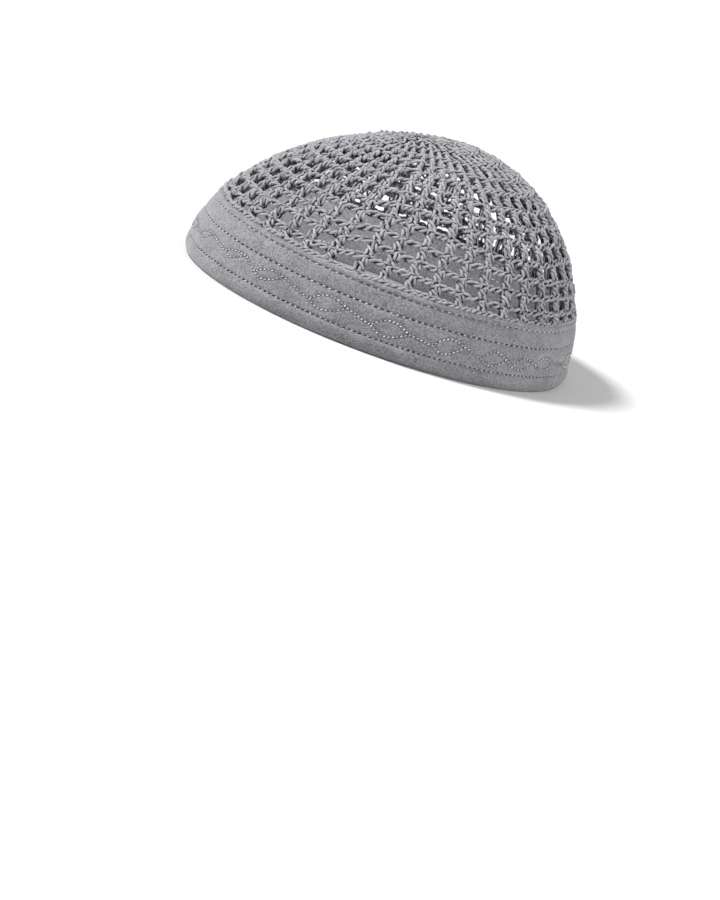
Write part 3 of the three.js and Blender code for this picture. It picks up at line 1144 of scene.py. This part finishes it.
def yarn_material():
    surface = Surface("crochet_yarn", roughness=0.7, sheen=0.15, sheen_roughness=0.45, specular=0.4)
    where = surface.where()
    patches = surface.noise(where, *YARN_PATCHES)
    fibres = surface.noise(where, *YARN_FIBRES)
    plies = twist_height(surface, "Strand", *YARN_PLIES)
    # The plies' share of the mottle is painted shade in the grooves between them
    mottle = surface.mottle((patches, PATCH_MOTTLE), (fibres, FIBRE_MOTTLE), (plies, PLY_GROOVE_SHADE))
    share = surface.weighted((surface.attribute("tone"), STRAND_TONES), (mottle, 1.0))
    # Painted shade: the yarn darkens below the ridges of its outer and inner faces
    height = surface.attribute("height")
    outer_ridges = surface.rise(height, *OUTER_RIDGES)
    inner_ridges = surface.rise(surface.math("MULTIPLY", height, -1.0), *INNER_RIDGES)
    clear_of_painted_shade = surface.math("MAXIMUM", outer_ridges, inner_ridges)
    yarn_colour = surface.blend(YARN_DARK, YARN_LIGHT, share)
    # Painted shade in the crevices, where much yarn lies close
    painted_crevice_shade = surface.rise(surface.attribute("crowding"), *CREVICE_SHADE_CROWDING)
    yarn_colour = surface.blend(yarn_colour, YARN_SHADOW, painted_crevice_shade)
    surface.paint(surface.blend(YARN_SHADOW, yarn_colour, clear_of_painted_shade))
    surface.bump(surface.weighted((plies, PLY_BUMP), (fibres, FIBRE_BUMP)), YARN_BUMP_HEIGHT)
    return surface.material


def cloth_material():
    surface = Surface("band_cloth", roughness=0.88, sheen=0.35, sheen_roughness=0.55, specular=0.25)
    where = surface.where(CLOTH_STRETCH)
    blotches = surface.noise(where, *CLOTH_BLOTCHES)
    grains = surface.noise(where, *CLOTH_GRAINS)
    fibres = surface.noise(where, *CLOTH_FIBRES)
    around, up = surface.uv("Cloth")
    wales = surface.math("SINE", surface.math("MULTIPLY", around, 2 * math.pi * WALES / RIM_LENGTH))
    courses = surface.math("SINE", surface.math("MULTIPLY", up, 2 * math.pi / COURSE_PITCH))
    loops = surface.math("MULTIPLY", wales, courses)
    mottle = surface.mottle(
        (blotches, BLOTCH_MOTTLE), (grains, GRAIN_MOTTLE), (fibres, CLOTH_FIBRE_MOTTLE)
    )
    # Painted shade, darker towards the foot of the band
    above_foot = surface.rise(up, *FOOT_SHADE_HEIGHTS)
    share = surface.weighted(
        (mottle, 1.0), (loops, LOOP_MOTTLE), (above_foot, FOOT_SHADE), (1.0, -FOOT_SHADE)
    )
    # Painted shadow in the needle holes
    hole = surface.rise(surface.attribute("needle"), *NEEDLE_DEPTHS)
    surface.paint(surface.blend(surface.blend(CLOTH_DARK, CLOTH_LIGHT, share), NEEDLE_SHADOW, hole))
    bumps = surface.weighted((grains, GRAIN_BUMP), (fibres, CLOTH_FIBRE_BUMP), (loops, LOOP_BUMP))
    surface.bump(bumps, CLOTH_BUMP_HEIGHT)
    return surface.material


def thread_material():
    surface = Surface("stitch_thread", roughness=0.38, sheen=0.1, specular=0.7)
    plies = twist_height(surface, "Strand", *THREAD_PLIES)
    tone = surface.attribute("tone")
    share = surface.weighted((tone, STITCH_TONES), (plies, THREAD_PLY_SHADE), (1.0, THREAD_LIGHTNESS))
    # Painted shadow of the needle holes on the ends of each stitch
    clear_of_painted_shade = surface.rise(surface.attribute("height"), *THREAD_ENDS)
    surface.paint(surface.blend(NEEDLE_SHADOW, surface.blend(THREAD_DARK, THREAD_LIGHT, share), clear_of_painted_shade))
    surface.bump(plies, THREAD_BUMP_HEIGHT)
    return surface.material


def floor_material():
    surface = Surface("floor_paper", roughness=0.9, specular=0.1)
    grains = surface.noise(surface.where(), *FLOOR_GRAINS)
    surface.paint(surface.blend(FLOOR_DARK, FLOOR_LIGHT, grains))
    return surface.material


# Camera: its angle to the cap, fitted to the photo, and where the middle of the rim shows
CAMERA_AZIMUTH = 87.5
CAMERA_ELEVATION = 16.8
CAMERA_ROLL = 20.65
CAMERA_DISTANCE = 1.5
FOCAL_LENGTH_PIXELS = 3051.0
PHOTO_WIDTH, PHOTO_HEIGHT = 720, 900
ORIGIN_PIXEL = (373.9, 312.4)
SENSOR = 36.0
CLIP_START, CLIP_END = 0.05, 100.0


def make_camera():
    azimuth, elevation, roll = (math.radians(a) for a in (CAMERA_AZIMUTH, CAMERA_ELEVATION, CAMERA_ROLL))
    back = Vector((
        math.sin(azimuth) * math.cos(elevation),
        -math.cos(azimuth) * math.cos(elevation),
        math.sin(elevation),
    ))
    level_right = Vector((math.cos(azimuth), math.sin(azimuth), 0.0))
    level_up = back.cross(level_right)
    right = level_right * math.cos(roll) + level_up * math.sin(roll)
    up = level_up * math.cos(roll) - level_right * math.sin(roll)
    metres_per_pixel = CAMERA_DISTANCE / FOCAL_LENGTH_PIXELS
    spot = back * CAMERA_DISTANCE
    spot -= right * (ORIGIN_PIXEL[0] - PHOTO_WIDTH / 2) * metres_per_pixel
    spot += up * (ORIGIN_PIXEL[1] - PHOTO_HEIGHT / 2) * metres_per_pixel
    data = bpy.data.cameras.new("camera")
    data.sensor_width = SENSOR
    data.lens = FOCAL_LENGTH_PIXELS * SENSOR / PHOTO_HEIGHT
    data.clip_start, data.clip_end = CLIP_START, CLIP_END
    camera = add_object("camera", data)
    turned = Matrix((right, up, back)).transposed().to_4x4()
    camera.matrix_world = Matrix.Translation(spot) @ turned
    bpy.context.scene.camera = camera


# Lights and floor, in metres
KEY_FROM = (0.11, -0.67, 0.74)
KEY_STRENGTH = 4.4
KEY_SOFTNESS = math.radians(12)
FILL_FROM = (0.6, 1.6, 0.8)
FILL_SIZE = 1.2
FILL_POWER = 18.0
HOLLOW_LIGHT_FROM = (0.0, -0.02, 0.045)
HOLLOW_LIGHT_RADIUS = 0.03
HOLLOW_LIGHT_POWER = 0.24
SURROUNDINGS = 0.5
FLOOR_RADIUS = 30.0
FLOOR_CORNERS = 96


def add_light(name, kind, energy, spot):
    """A light at a spot, aimed at the middle of the rim."""
    data = bpy.data.lights.new(name, kind)
    data.energy = energy
    light = add_object(name, data)
    light.location = spot
    light.rotation_mode = "QUATERNION"
    light.rotation_quaternion = Vector(spot).to_track_quat("Z", "Y")
    return light


def make_lights():
    """A sun, a large soft light from behind, and a weak one that opens up the cap's inside."""
    key = add_light("key", "SUN", KEY_STRENGTH, KEY_FROM)
    key.data.angle = KEY_SOFTNESS
    fill = add_light("fill", "AREA", FILL_POWER, FILL_FROM)
    fill.data.shape = "DISK"
    fill.data.size = FILL_SIZE
    hollow = add_light("hollow", "POINT", HOLLOW_LIGHT_POWER, HOLLOW_LIGHT_FROM)
    hollow.data.shadow_soft_size = HOLLOW_LIGHT_RADIUS
    hollow.visible_camera = False


def make_stage():
    bpy.ops.mesh.primitive_circle_add(
        vertices=FLOOR_CORNERS, radius=FLOOR_RADIUS, fill_type="NGON", location=(0, 0, 0)
    )
    floor = bpy.context.object
    floor.name = "floor"
    floor.data.materials.append(floor_material())
    world = bpy.data.worlds.new("world")
    bpy.context.scene.world = world
    world.use_nodes = True
    background = world.node_tree.nodes["Background"]
    background.inputs["Color"].default_value = (1.0, 1.0, 1.0, 1.0)
    background.inputs["Strength"].default_value = SURROUNDINGS


bpy.context.scene.view_settings.view_transform = "Standard"
make_camera()
make_stage()
make_lights()

crown = make_crown()
yarn = yarn_material()
for piece in crown:
    piece.data.materials.append(yarn)
    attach(piece, "root")
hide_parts("crown")

band = make_band()
band.data.materials.append(cloth_material())
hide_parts("band")
stitching = make_stitching()
stitching.data.materials.append(thread_material())
for piece in (band, stitching):
    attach(piece, "root")
